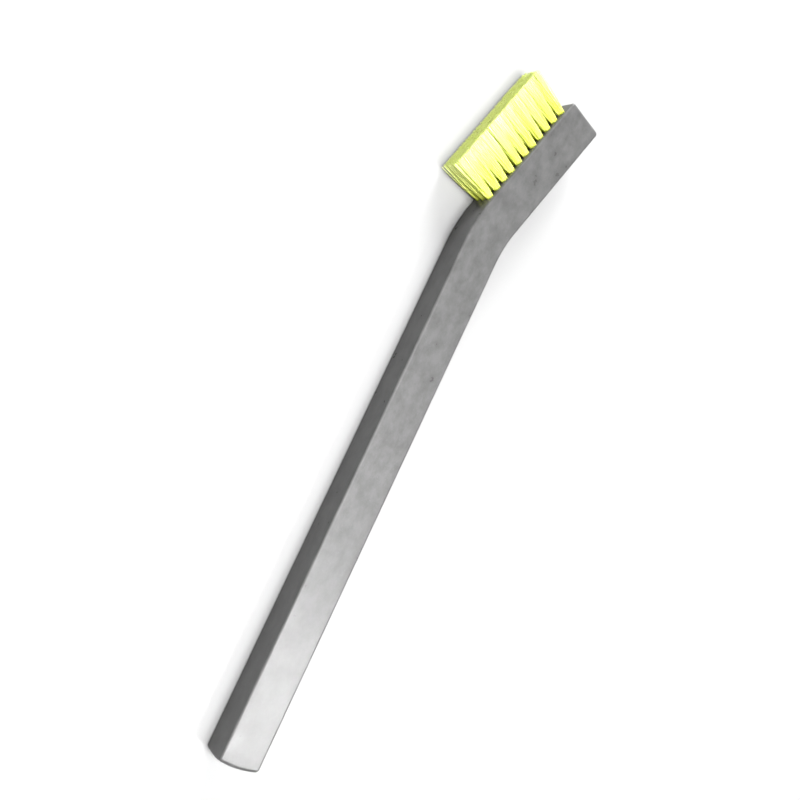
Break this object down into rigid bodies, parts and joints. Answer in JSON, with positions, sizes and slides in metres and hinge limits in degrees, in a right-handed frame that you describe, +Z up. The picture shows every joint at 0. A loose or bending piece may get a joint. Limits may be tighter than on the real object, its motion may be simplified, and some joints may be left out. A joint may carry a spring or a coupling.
{
  "type": "brass wire brush",
  "caption": "Hand-held brush for cleaning soldering tips: a straight square plastic bar with its head bent back, carrying a flat-trimmed block of brass wire tufts.",
  "frame": {"origin": "on the surface that the brush lies on, under the middle of its outline seen from above", "axes": "the brush lies on one side: +X along the grip towards the butt, +Y away from the bristles, +Z up, across the rows of tufts"},
  "size_m": [0.1826, 0.0316, 0.0092],
  "materials": {
    "handle_plastic": "moulded light grey plastic, satin, faintly mottled",
    "bristle_wire": "fine bright drawn wire, lemon yellow brass with a green cast",
    "anchor_strip": "plain cut flat wire"
  },
  "bodies": {
    "root": {"handle": "handle_plastic", "tuft_upper_01": "bristle_wire", "tuft_upper_02": "bristle_wire", "tuft_upper_03": "bristle_wire", "tuft_upper_04": "bristle_wire", "tuft_upper_05": "bristle_wire", "tuft_upper_06": "bristle_wire", "tuft_upper_07": "bristle_wire", "tuft_upper_08": "bristle_wire", "tuft_upper_09": "bristle_wire", "tuft_upper_10": "bristle_wire", "tuft_upper_11": "bristle_wire", "tuft_middle_01": "bristle_wire", "tuft_middle_02": "bristle_wire", "tuft_middle_03": "bristle_wire", "tuft_middle_04": "bristle_wire", "tuft_middle_05": "bristle_wire", "tuft_middle_06": "bristle_wire", "tuft_middle_07": "bristle_wire", "tuft_middle_08": "bristle_wire", "tuft_middle_09": "bristle_wire", "tuft_middle_10": "bristle_wire", "tuft_middle_11": "bristle_wire", "tuft_lower_01": "bristle_wire", "tuft_lower_02": "bristle_wire", "tuft_lower_03": "bristle_wire", "tuft_lower_04": "bristle_wire", "tuft_lower_05": "bristle_wire", "tuft_lower_06": "bristle_wire", "tuft_lower_07": "bristle_wire", "tuft_lower_08": "bristle_wire", "tuft_lower_09": "bristle_wire", "tuft_lower_10": "bristle_wire", "tuft_lower_11": "bristle_wire", "anchors_upper_row": "anchor_strip", "anchors_middle_row": "anchor_strip", "anchors_lower_row": "anchor_strip"}
  },
  "joints": []
}
